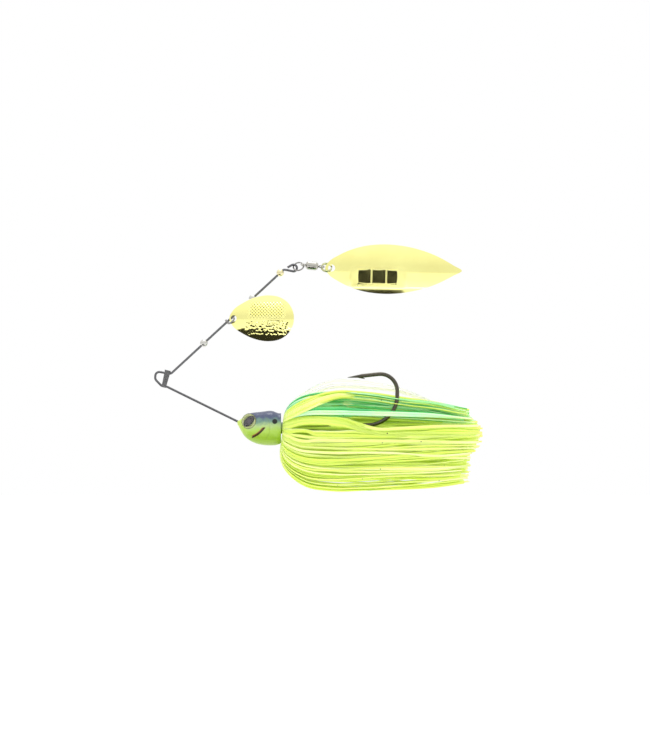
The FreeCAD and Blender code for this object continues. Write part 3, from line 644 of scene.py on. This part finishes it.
def eye_print():
    material, tree, shader, place = new_material("eye_foil_print_and_painted_glints", Metallic=0.35, Roughness=0.3)
    low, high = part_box("eye_foils")
    centre = Vector(((low.x + high.x) / 2, 3.45 * MM, (low.z + high.z) / 2))
    outward = EYE_OUTWARD.normalized()
    back = (Vector((1, 0, 0)) - outward * outward.x).normalized()
    up = Vector((0, 0, 1)) - outward * outward.z
    up = (up - back * up.dot(back)).normalized()
    whole = add_node(tree, SPLIT, None, Vector=place)
    mirrored = add_node(tree, JOIN, None, X=whole.outputs["X"], Z=whole.outputs["Z"],
                        Y=add_node(tree, MATH, "ABSOLUTE", i0=whole.outputs["Y"]))
    offset = add_node(tree, VECTOR, "SUBTRACT", i0=mirrored, i1=centre)

    def oval(shift_back, half_long, half_short, lean):
        """Distance from an oval's middle, 1 at its edge; lean is in degrees from the back direction."""
        angle = math.radians(lean)
        moved = add_node(tree, VECTOR, "SUBTRACT", i0=offset, i1=back * shift_back)
        long_way = (back * math.cos(angle) + up * math.sin(angle)) / half_long
        short_way = (up * math.cos(angle) - back * math.sin(angle)) / half_short
        along, across = (add_node(tree, VECTOR, "DOT_PRODUCT", i0=moved, i1=way).outputs["Value"]
                         for way in (long_way, short_way))
        flat = add_node(tree, JOIN, None, X=along, Y=across)
        return add_node(tree, VECTOR, "LENGTH", i0=flat).outputs["Value"]

    pupil = oval(0.1 * MM, 2.85 * MM, 1.65 * MM, 38)
    # The ring's pale band at 0.84 is a painted highlight on its rim.
    ring_and_painted_highlight = add_node(tree, RAMP, {"stops": [(0.0, "#6f7a40"), (0.66, "#78833f"), (0.84, "#b4bb84"),
                                           (0.92, "#8a9356"), (1.0, "#4f5832")]}, Fac=oval(0, 3.1 * MM, 3.1 * MM, 0))
    # The pupil's purplish middle is a painted reflection.
    pupil_and_painted_reflection = add_node(tree, RAMP, {"stops": [(0.0, "#4b3d52"), (0.45, "#2c262c"), (0.93, "#1c1a1b"),
                                           (1.0, "#3a3a2c")]}, Fac=pupil)
    feed(tree, shader, Base_Color=add_node(tree, MIX, BLEND, A=ring_and_painted_highlight, B=pupil_and_painted_reflection,
                                           Factor=add_node(tree, MATH, "LESS_THAN", i0=pupil, i1=1.0)))
    return material


LENS_RESIN, lens_tree, lens_shader, _ = new_material("clear_epoxy_dome", Roughness=0.03, Metallic=1.0,
                                                     Base_Color="#ffffff")
grazing = add_node(lens_tree, "ShaderNodeLayerWeight", None, Blend=0.5).outputs["Facing"]
gloss_part = add_node(lens_tree, MATH, "MULTIPLY_ADD", i0=add_node(lens_tree, MATH, "POWER", i0=grazing, i1=4.0),
                      i1=0.5, i2=0.03)
clear = add_node(lens_tree, "ShaderNodeBsdfTransparent")
feed(lens_tree, lens_tree.nodes["Material Output"],
     Surface=add_node(lens_tree, "ShaderNodeMixShader", None, i0=gloss_part, i1=clear, i2=lens_shader))
LENS_LIFT = 0.05 * MM
LENS_SHRINK = 0.98
LENS_SLIVER = 0.002 * MM


def lifted_lenses():
    """Both lenses, each a hair smaller and clear of its foil, so that no two surfaces share a place."""
    mesh = nodes["eye_lenses"].data.copy()
    mesh.materials.clear()
    for side in (-1, 1):
        lift = Vector((EYE_OUTWARD.x, EYE_OUTWARD.y * side, EYE_OUTWARD.z)) * LENS_LIFT
        corners = [vertex for vertex in mesh.vertices if vertex.co.y * side > 0]
        middle = sum((vertex.co for vertex in corners), Vector()) / len(corners)
        for vertex in corners:
            vertex.co = middle + (vertex.co - middle) * LENS_SHRINK + lift
    drop_slivers(mesh, LENS_SLIVER)
    return link_piece("lifted_eye_lenses", mesh, LENS_RESIN)


dress("eye_foils", eye_print())
lenses = lifted_lenses()
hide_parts("eye_lenses")
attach(lenses, "frame")

# %% [markdown]
# ## Sweeping a strand with Geometry Nodes
#
# The skirt's strands and the binding's thread are the same kind of thing: a small section swept along a path. The
# paths are drawn as mesh edges in code. One node tree turns them into curves, points each ribbon's flat side along
# the "facing" attribute, scales it by "girth", and sweeps a section with the given width, thickness and number of
# sides. It keeps each strand's "tone", a number from 0 to 1, so that a material can make every strand a little
# different from its neighbour.

# %% Strand sweeper


def strand_sweeper(name, width, thickness, sides, material):
    tree = bpy.data.node_groups.new(name, "GeometryNodeTree")
    face = tree.interface
    face.new_socket("Paths", in_out="INPUT", socket_type="NodeSocketGeometry")
    sizes = {}
    for label, kind, value in (("Strand width", "NodeSocketFloat", width),
                               ("Strand thickness", "NodeSocketFloat", thickness),
                               ("Section sides", "NodeSocketInt", sides),
                               ("Finish", "NodeSocketMaterial", material)):
        socket = face.new_socket(label, in_out="INPUT", socket_type=kind)
        sizes[socket.identifier] = value
    face.new_socket("Strands", in_out="OUTPUT", socket_type="NodeSocketGeometry")
    entry = add_node(tree, "NodeGroupInput").outputs
    curves = add_node(tree, "GeometryNodeMeshToCurve", None, Mesh=entry["Paths"])
    facing = add_node(tree, "GeometryNodeInputNamedAttribute", {"data_type": "FLOAT_VECTOR"}, Name="facing")
    girth = add_node(tree, "GeometryNodeInputNamedAttribute", {"data_type": "FLOAT"}, Name="girth")
    faced = add_node(tree, "GeometryNodeSetCurveNormal", {"mode": "FREE"}, Curve=curves, Normal=facing)
    circle = add_node(tree, "GeometryNodeCurvePrimitiveCircle", {"mode": "RADIUS"}, Radius=0.5,
                      Resolution=entry["Section sides"])
    section_size = add_node(tree, JOIN, None, X=entry["Strand thickness"], Y=entry["Strand width"], Z=1.0)
    section = add_node(tree, "GeometryNodeTransform", None, Geometry=circle, Scale=section_size)
    swept = add_node(tree, "GeometryNodeCurveToMesh", None, Curve=faced, Profile_Curve=section, Scale=girth,
                     Fill_Caps=True)
    smooth = add_node(tree, "GeometryNodeSetShadeSmooth", None, Geometry=swept)
    real = add_node(tree, "GeometryNodeRealizeInstances", None, Geometry=smooth)
    finish = add_node(tree, "GeometryNodeSetMaterial", None, Geometry=real, Material=entry["Finish"])
    add_node(tree, "NodeGroupOutput", None, Strands=finish)
    return tree, sizes


def sweep_strands(name, strands, width, thickness, sides, material):
    """Makes one mesh from strands: lists of (place, facing, girth), each with its tone."""
    rows, edges, tones = [], [], []
    for strand, tone in strands:
        edges += [(i, i + 1) for i in range(len(rows), len(rows) + len(strand) - 1)]
        rows += strand
        tones += [tone] * len(strand)
    places, facings, girths = zip(*rows)
    mesh = bpy.data.meshes.new(name)
    mesh.from_pydata(places, edges, [])
    mesh.attributes.new("facing", "FLOAT_VECTOR", "POINT").data.foreach_set(
        "vector", [value for facing in facings for value in facing])
    mesh.attributes.new("girth", "FLOAT", "POINT").data.foreach_set("value", girths)
    mesh.attributes.new("tone", "FLOAT", "POINT").data.foreach_set("value", tones)
    piece = link_piece(name, mesh, None)
    tree, sizes = strand_sweeper(name + "_sweep", width, thickness, sides, material)
    sweep = piece.modifiers.new("sweep", "NODES")
    sweep.node_group = tree
    for identifier, value in sizes.items():
        sweep[identifier] = value
    swept = apply_modifiers(piece)
    print(name, len(strands), "strands,", sum(len(p.vertices) - 2 for p in swept.polygons), "triangles")
    return piece


# %% [markdown]
# ## Binding on the line tie
#
# The open bend that takes the line is pinched shut by a few turns of grey thread round both legs, so that the
# line can't slip off it. It is one thread, so it is one path: eight flat loops that step along the legs, each a
# little uneven, as wound by hand. The CAD model holds its outer band; the real turns replace it.

# %% Wind the thread
BINDING_MIDDLE = Vector((2.3, 0, -0.75)) * MM
BINDING_LEAN = math.radians(14)
BINDING_WIDTH = 2.3 * MM
BINDING_HALF_HEIGHT = 3.42 * MM
BINDING_HALF_WIDTH = 0.60 * MM
BINDING_TURNS = 8
POINTS_PER_TURN = 28
THREAD = 0.30 * MM


def binding_path():
    wobble = random.Random(5)
    lean = Matrix.Rotation(BINDING_LEAN, 3, "Y")
    rows = []
    uneven = [wobble.uniform(-0.05, 0.05) * MM for _ in range(BINDING_TURNS + 1)]
    for step in range(BINDING_TURNS * POINTS_PER_TURN + 1):
        turn, angle = step // POINTS_PER_TURN, 2 * math.pi * (step % POINTS_PER_TURN) / POINTS_PER_TURN
        along = (step / (BINDING_TURNS * POINTS_PER_TURN) - 0.5) * (BINDING_WIDTH - THREAD)
        across, up = math.sin(angle), math.cos(angle)
        straight = BINDING_HALF_HEIGHT - BINDING_HALF_WIDTH
        z = up * BINDING_HALF_WIDTH + straight * max(-1, min(1, up * 1.9))
        y = BINDING_HALF_WIDTH * max(-1, min(1, across * 1.6))
        fan = 1 + 0.13 * z / BINDING_HALF_HEIGHT
        local = Vector((along * fan + uneven[turn] * math.sin(angle / 2), y, z))
        outward = Vector((0, y, z)).normalized()
        rows.append((BINDING_MIDDLE + lean @ local, lean @ outward, 1.0))
    return rows


GREY_THREAD, thread_tree, thread_shader, thread_place = new_material("waxed_grey_thread", Roughness=0.55)
fibre = add_node(thread_tree, NOISE, None, Vector=thread_place, Scale=1 / (0.3 * MM), Detail=4.0)
feed(thread_tree, thread_shader,
     Base_Color=add_node(thread_tree, RAMP, {"stops": [(0.3, "#333334"), (0.7, "#6c6c6d")]}, Fac=fibre))
binding = sweep_strands("binding_thread", [(binding_path(), 0.5)], THREAD, THREAD, 8, GREY_THREAD)
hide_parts("line_tie_binding")
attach(binding, "frame")

# %% [markdown]
# ## Silicone for the skirt
#
# The strands are cut from thin silicone sheet, which is soft, slightly see-through and a little glossy. Light goes
# some way into it, so the material has subsurface scattering. The pigments are fluorescent, but the glow given to
# them here is painted light, which keeps the folds between strands bright where shade would fall. Every strand has
# its own tone and the colour drifts along it. The colour turns paler towards the tails: painted light for the white
# that shows through their thin ends. The black specks are flakes cast into the sheet, 0.5 mm across and about 5 mm
# apart. The pearl strands are nearly clear; their index is set low because so thin a sheet hardly bends the light
# behind it.

# %% Silicone materials


def silicone(name, tones, see_through, ior=1.41, painted_fold_glow=0.07, flakes=True):
    material, tree, shader, place = new_material(
        name, Roughness=0.32, IOR=ior, Subsurface_Weight=0.4, Subsurface_Radius=(1.0, 1.0, 0.45),
        Subsurface_Scale=2.0 * MM, Transmission_Weight=see_through, Emission_Strength=painted_fold_glow)
    strand_tone = add_node(tree, "ShaderNodeAttribute", {"attribute_name": "tone"}).outputs["Fac"]
    drift = add_node(tree, NOISE, None, Vector=place, Scale=1 / (14 * MM), Detail=2.0)
    # Paler towards the tails: painted light for the white showing through their thin ends.
    tails = add_node(tree, RANGE, None, Value=add_node(tree, SPLIT, None, Vector=place),
                     From_Min=112 * MM, From_Max=130 * MM, To_Min=-0.2, To_Max=0.1)
    drifted = add_node(tree, MATH, "MULTIPLY_ADD", i0=drift, i1=0.4, i2=strand_tone)
    colour = add_node(tree, RAMP, {"stops": tones}, Fac=add_node(tree, MATH, "ADD", i0=drifted, i1=tails))
    if flakes:
        cells = add_node(tree, VORONOI, None, Vector=place, Scale=1 / (5 * MM))
        colour = add_node(tree, MIX, BLEND, A=colour, B="#1d2a14",
                          Factor=add_node(tree, MATH, "LESS_THAN", i0=cells, i1=0.05))
    # The emission in the strand's own colour is painted light that keeps its folds bright.
    feed(tree, shader, Base_Color=colour, Emission_Color=colour)
    return material


CHARTREUSE = silicone("chartreuse_silicone_sheet",
                      [(0.0, "#c8e454"), (0.3, "#d3ed62"), (0.6, "#dcf16e"), (0.8, "#e4f484"), (1.0, "#eff8a4")], 0.0)
GREEN = silicone("green_silicone_sheet",
                 [(0.0, "#2fa358"), (0.25, "#5ccb6b"), (0.5, "#7fdf88"), (0.75, "#b4f2b4"), (1.0, "#dcf8a8")], 0.0)
PEARL = silicone("pearl_silicone_sheet",
                 [(0.0, "#fffdf0"), (0.5, "#fffff8"), (1.0, "#fdfde2")], 0.9, ior=1.1, painted_fold_glow=0.0, flakes=False)

# %% [markdown]
# ## Shape of the skirt
#
# The skirt is a sheaf pinched by the rubber collar behind the head. Strands that leave it on the head's side
# belly forward before they stream back, so the skirt is widest near the front. Three lists give the outermost
# strand's path above, below and at the side, as (X, distance from the hook's shank). A strand at another angle is
# between them, and an inner strand keeps a part of the distance and bulges forward less. Sizes are in mm again.

# %% Skirt outlines
SHANK_Z = -20.5
ABOVE = [(50.2, 2.8), (49.7, 3.6), (49.9, 6.0), (50.9, 8.3), (52.6, 10.3), (56, 12.6), (61, 14.2), (70, 14.9),
         (82, 14.1), (98, 11.4), (112, 9.4), (126, 6.6)]
BELOW = [(49.6, 2.8), (49.1, 4.0), (48.1, 8.0), (48.3, 12.7), (50.2, 16.9), (53.5, 20.3), (58.5, 23.3), (68, 25.0),
         (82, 24.9), (98, 24.0), (112, 22.9), (126, 21.4)]
BESIDE = [(50.0, 2.8), (49.4, 4.0), (49.2, 7.0), (49.9, 10.0), (51.9, 12.6), (55.4, 14.8), (60.5, 16.2), (70, 17.2),
          (82, 17.0), (98, 16.0), (112, 14.9), (126, 13.8)]
PATH_POINTS = 44
OUTLINE_STEPS = 200


def hump(low, high, value):
    """0 outside two values, rising to 1 half way between them."""
    return smoothstep(low, (low + high) / 2, value) * (1 - smoothstep((low + high) / 2, high, value))


above_line, below_line, beside_line = (smooth_line(points, OUTLINE_STEPS) for points in (ABOVE, BELOW, BESIDE))


def sheaf_point(angle, layer, part):
    """Where a strand is, in mm: angle from straight up, layer 1 for the outermost, part of its way along."""
    rise, side = math.cos(angle), math.sin(angle)
    index = min(int(part * OUTLINE_STEPS), OUTLINE_STEPS - 1)
    rest = part * OUTLINE_STEPS - index
    upright, beside = (line[index].lerp(line[index + 1], rest)
                       for line in (above_line if rise > 0 else below_line, beside_line))
    weight = rise * rise
    reach = 1 / math.sqrt(weight / upright.y ** 2 + side * side / beside.y ** 2)
    x = upright.x * weight + beside.x * (1 - weight) + (1 - layer) * 9 * hump(0.0, 0.6, part)
    reach *= layer + (1 - layer) * (1 - smoothstep(0, 0.1, part))
    return Vector((x, reach * side, SHANK_Z + reach * rise))


# %% [markdown]
# ## Room for the hook
#
# The strands lie on both sides of the hook, and part where its bend comes up through them. Those that start high
# on the near side slide over to the far side, and those that start level with the shank droop below it, so the
# bend stands clear. Small slits open near the pinch, where strands cling together in groups. Each slit is a thin
# lens, given by its ends in X, its Z at each end and its half height.

# %% Part the strands
SLITS = [(50.4, 71.0, -20.7, -18.5, 1.5), (63.0, 79.0, -21.4, -20.0, 1.0), (51.0, 62.0, -22.3, -21.6, 0.8),
         (51.5, 62.0, -23.2, -25.6, 0.7)]
SHANK_ROOM, SHANK_REACH = 1.3, 6
BEND_X, BEND_ROOM = (78, 108), 1.9
LEVEL_ANGLES, DROOP_TO, DROOP_SPREAD = (-96, -72), -96, 0.3
CROSS_FROM, INNER_CROSS_FROM = -72, -84
OUTER_LAYERS, SLIT_LAYERS = 0.85, 0.7


def open_slits(point, sides):
    """Keeps a strand on the side of each slit where it first comes to it; sides remembers 1 or -1 for each."""
    for index, (low, high, z_low, z_high, room) in enumerate(SLITS):
        if point.y < 0 and low < point.x < high:
            line = z_low + (z_high - z_low) * (point.x - low) / (high - low)
            side = sides.setdefault(index, math.copysign(1, point.z - line))
            away, open_part = (point.z - line) * side, math.sqrt(hump(low, high, point.x))
            push = (math.sqrt(away * away + 4 * (room * open_part) ** 2) - away) / 2
            point.z += side * push * min(1.0, 1.6 * open_part)


def clear_hook(point):
    """Strands pass at least 1.3 mm from the shank's middle, and further beside the bend."""
    along_shank = smoothstep(52, 58, point.x) * (1 - smoothstep(84, 90, point.x))
    distance = math.hypot(point.y, point.z - SHANK_Z)
    if 0.01 < distance < SHANK_REACH:
        grown = math.sqrt(distance ** 2 + (SHANK_ROOM * along_shank) ** 2) / distance
        point.y *= grown
        point.z = SHANK_Z + (point.z - SHANK_Z) * grown
    room = BEND_ROOM * hump(*BEND_X, point.x) * smoothstep(-22.5, -19, point.z)
    point.y = math.copysign(math.sqrt(point.y * point.y + room * room), point.y)


def near_side_angle(degrees, droop):
    """A near side strand's angle once it droops. Strands level with the shank go below it to pass the bend."""
    low, high = LEVEL_ANGLES
    level = low < degrees < high
    goal = DROOP_TO + (degrees - (low + high) / 2) * DROOP_SPREAD if level else degrees
    return degrees + (goal - degrees) * droop


# %% [markdown]
# ## One strand
#
# A strand follows the sheaf at its own angle and depth. It drifts a little sideways, sways and twists, as
# soft ribbon does, and ends a little short of its neighbours. Tails in the middle reach furthest back. The sweep
# needs a strand as rows: its path, the way its flat side faces and how thick it is.

# %% Draw one strand
CLIMB_X, DROOP_X, ACROSS_BY_X, TAILS_X = (51, 74), (70, 90), 83, (104, 126)
TAIL_REACH, TAIL_TRIM = 4.6, 2.1
PEARL_RISE = 4.6


def tail_shift(point):
    """How much further back the tails reach in the middle of the skirt than above and below."""
    middle = TAIL_REACH * (1 - smoothstep(-19.5, -15.0, point.z)) * smoothstep(-31.5, -26.5, point.z)
    return (middle - TAIL_TRIM) * smoothstep(*TAILS_X, point.x)


def strand_points(chance, angle, layer, kind, climb):
    """The path of one strand. A plain one that starts high on the near side crosses to the far side."""
    drift, sway = chance.gauss(0, 0.075), chance.gauss(0, 0.045)
    phase, lift = chance.uniform(0, 2 * math.pi), chance.gauss(0, 0.5)
    shortfall = min(0.14, abs(chance.gauss(0, 0.026)))
    kink, turns_at = chance.gauss(0, 0.5), chance.uniform(50, 58)
    cross_from = CROSS_FROM if layer > OUTER_LAYERS else INNER_CROSS_FROM
    crosses = kind == "plain" and angle < 0 and math.degrees(angle) > cross_from
    points, sides = [], {}
    for index in range(PATH_POINTS):
        part = (index / (PATH_POINTS - 1)) ** 1.1 * (1 - shortfall)
        x = sheaf_point(angle, layer, part).x
        degrees = math.degrees(angle) + climb * smoothstep(*CLIMB_X, x)
        if kind == "plain" and angle < 0 and not crosses:
            degrees = near_side_angle(degrees, smoothstep(*DROOP_X, x))
        loose = smoothstep(0.2, 1, part)
        turned = math.radians(degrees) + drift * loose + sway * math.sin(phase + 5 * part) * part
        point = sheaf_point(turned, layer, part)
        if crosses:
            far_side = abs(point.y) * 0.25 + 1.6
            point.y += (far_side - point.y) * smoothstep(turns_at + climb / 4, ACROSS_BY_X, point.x)
        if kind == "pearl":
            point.z += PEARL_RISE * smoothstep(0.1, 0.35, part) * (1 - smoothstep(0.60, 0.88, part))
        point.z += (lift + kink * math.sin(2.2 * phase + 9 * part)) * loose
        if layer > SLIT_LAYERS:
            open_slits(point, sides)
        clear_hook(point)
        point.x += tail_shift(point)
        points.append(point)
    return points


def draw_strand(chance, angle, layer, kind="plain", climb=0):
    """One strand as rows of (place, facing, girth). It climbs by some degrees on its way to the bend."""
    points = strand_points(chance, angle, layer, kind, climb)
    twist_start, twist_end = chance.gauss(0, 0.2), chance.gauss(0, 0.5)
    stout = chance.uniform(0.72, 1.15)
    rows = []
    for index, point in enumerate(points):
        tangent = (points[min(index + 1, PATH_POINTS - 1)] - points[max(index - 1, 0)]).normalized()
        outward = tangent.cross(Vector((0, math.cos(angle), -math.sin(angle))))
        if outward.length < 0.05:
            outward = Vector((0, math.sin(angle), math.cos(angle)))
        part = index / (PATH_POINTS - 1)
        twist = twist_start * smoothstep(0.1, 0.4, part) + twist_end * smoothstep(0.4, 1, part)
        facing = Matrix.Rotation(twist, 3, tangent) @ outward.normalized()
        girth = stout * (0.6 + 0.4 * smoothstep(0.0, 0.2, part)) * (1 - 0.25 * smoothstep(0.85, 1, part))
        rows.append((point * MM, facing, girth))
    return rows


# %% [markdown]
# ## The whole skirt
#
# Five layers of strands fill the sheaf, most of them in the outer three. Strands that start near the top are
# mostly green, with some chartreuse among them. A few are set one by one: green ones that stay on the near side,
# chartreuse ones that climb on their way to the bend, and pearl ones that flare above the rest. The CAD model holds
# the same volume as closed envelopes, one for each colour, and the strands replace them.

# %% Make the skirt
LAYERS = [(1.0, 128), (0.94, 128), (0.85, 96), (0.62, 44), (0.38, 14)]
STRAND_WIDTH = 1.3 * MM
STRAND_THICKNESS = 0.36 * MM
NEAR_GREEN = [(-62, 0.0), (-66, 0.8), (-70, 0.8)]
CLIMBING = [-71, -68, -64, -60, -55, -49]
CLIMBING_LAYER, CLIMB = 1.03, 30
PEARLS = [8, 19, 30, 42, 54]


def draw_skirt():
    chance = random.Random(11)
    groups = {"green": [], "chartreuse": [], "pearl": []}
    for layer, count in LAYERS:
        for index in range(count):
            angle = 2 * math.pi * (index + chance.uniform(0.0, 1.0)) / count - math.pi
            rows = draw_strand(chance, angle, layer * chance.uniform(0.95, 1.0))
            spread, lot = abs(math.degrees(angle)), chance.random()
            green = lot < 0.82 if spread < 56 else lot < 0.45 and spread < 72
            groups["green" if green else "chartreuse"].append((rows, chance.random()))
    for degrees, tone in NEAR_GREEN:
        groups["green"].append((draw_strand(chance, math.radians(degrees), 1.0, "near"), tone))
    for degrees in CLIMBING:
        rows = draw_strand(chance, math.radians(degrees), CLIMBING_LAYER, climb=CLIMB)
        groups["chartreuse"].append((rows, chance.random()))
    for degrees in PEARLS:
        groups["pearl"].append((draw_strand(chance, math.radians(degrees), 1.0, "pearl"), chance.random()))
    return groups


for colour_name, strands in draw_skirt().items():
    finish = {"green": GREEN, "chartreuse": CHARTREUSE, "pearl": PEARL}[colour_name]
    strand_piece = sweep_strands(f"{colour_name}_strands", strands, STRAND_WIDTH, STRAND_THICKNESS, 6, finish)
    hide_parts(f"skirt_{colour_name}_strands")
    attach(strand_piece, "frame")

# %% [markdown]
# ## Rubber collar
#
# The collar is a moulded green rubber band, mostly hidden by the strands. Rubber is dull, with a pale bloom.

# %% Collar rubber
COLLAR_RUBBER, collar_tree, collar_shader, collar_place = new_material("moulded_natural_rubber", Roughness=0.6)
bloom = add_node(collar_tree, NOISE, None, Vector=collar_place, Scale=1 / (0.6 * MM), Detail=3.0)
feed(collar_tree, collar_shader,
     Base_Color=add_node(collar_tree, RAMP, {"stops": [(0.3, "#3d5226"), (0.7, "#5b7236")]}, Fac=bloom))
dress("skirt_collar", COLLAR_RUBBER)

# %% [markdown]
# ## Sizes and the end
#
# The finished lure must fill the same box as the engineering model, so both boxes are written down to compare.

# %% Write the boxes and finish
visual_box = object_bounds()
for axis, cad_low, cad_high, low, high in zip("XYZ", *cad_box, *visual_box):
    print(axis, "CAD", round(cad_low / MM, 1), round(cad_high / MM, 1), "visual", round(low / MM, 1),
          round(high / MM, 1))
